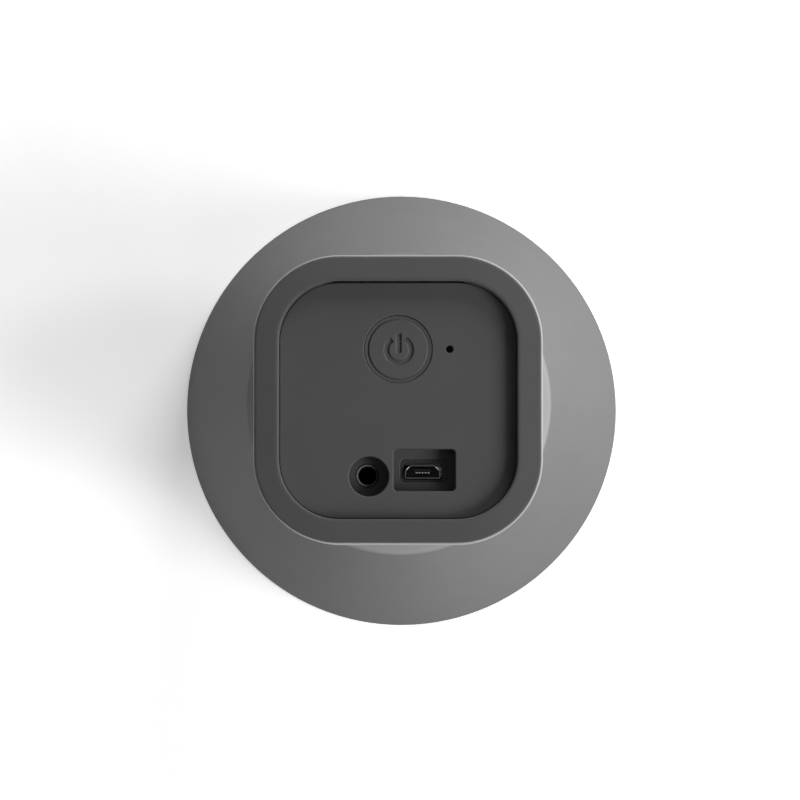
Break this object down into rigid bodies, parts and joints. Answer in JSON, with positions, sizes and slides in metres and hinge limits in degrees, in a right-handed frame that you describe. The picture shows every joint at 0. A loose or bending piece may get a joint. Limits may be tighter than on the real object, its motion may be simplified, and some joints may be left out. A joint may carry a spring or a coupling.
{
  "type": "portable wireless speaker",
  "caption": "Small conical wireless speaker lying face down, with a sunk control panel in its square foot.",
  "frame": {"origin": "centre of the front rim, in the plane that the speaker lies on in the picture", "axes": "+Z up along the axis to the foot ring; +X to the right and +Y up as one looks down on the panel"},
  "size_m": [0.0978, 0.0978, 0.07],
  "materials": {
    "housing_plastic": "fine satin texture",
    "panel_plastic": "fine matte texture",
    "foot_rubber": "matte",
    "button_plastic": "satin",
    "pipe_clear": "clear",
    "jack_plastic": "satin",
    "socket_steel": "plated",
    "tongue_plastic": "matte",
    "grille_paint": "powder coat",
    "cloth_black": "woven",
    "baffle_plastic": "matte",
    "gasket_foam": "foam",
    "basket_steel": "black coat",
    "motor_steel": "zinc plated",
    "magnet_ferrite": "ground",
    "coil_copper": "enamelled copper wire on a paper former",
    "cone_paper": "pressed pulp",
    "surround_rubber": "satin",
    "spider_cloth": "resin stiffened",
    "strip_laminate": "pressed laminate",
    "board_laminate": "black solder mask",
    "can_steel": "tinned",
    "chip_plastic": "matte",
    "cell_foil": "foil pouch",
    "tape_foam": "foam",
    "lamp_epoxy": "cast",
    "screw_steel": "black zinc"
  },
  "bodies": {
    "base": {"body_shell": "housing_plastic", "foot_ring": "foot_rubber", "control_plate": "panel_plastic", "light_pipe": "pipe_clear", "jack_socket": "jack_plastic", "usb_shell": "socket_steel", "usb_tongue": "tongue_plastic", "grille": "grille_paint", "grille_cloth": "cloth_black", "front_baffle": "baffle_plastic", "driver_gasket": "gasket_foam", "driver_basket": "basket_steel", "driver_top_plate": "motor_steel", "driver_magnet": "magnet_ferrite", "driver_yoke": "motor_steel", "surround": "surround_rubber", "spider": "spider_cloth", "terminal_strip": "strip_laminate", "main_board": "board_laminate", "radio_module": "can_steel", "board_chips": "chip_plastic", "battery_cell": "cell_foil", "battery_tape": "tape_foam", "button_board": "board_laminate", "switch_body": "chip_plastic", "status_lamp": "lamp_epoxy", "plate_screws": "screw_steel", "baffle_screws": "screw_steel", "driver_screws": "screw_steel", "button_board_screws": "screw_steel", "rail_screws": "screw_steel"},
    "button": {"power_button": "button_plastic", "switch_plunger": "chip_plastic"},
    "diaphragm": {"cone": "cone_paper", "dust_cap": "cone_paper", "voice_coil": "coil_copper"}
  },
  "joints": [
    {"name": "button_press", "type": "slide", "parent": "base", "child": "button", "axis": [0, 0, -1], "range_m": [0, 0.0005], "stiffness_N_per_m": 3000, "springref_m": -0.0003},
    {"name": "cone_excursion", "type": "slide", "parent": "base", "child": "diaphragm", "axis": [0, 0, 1], "range_m": [-0.0012, 0.0012], "stiffness_N_per_m": 1500, "deforming": ["surround", "spider"]}
  ]
}
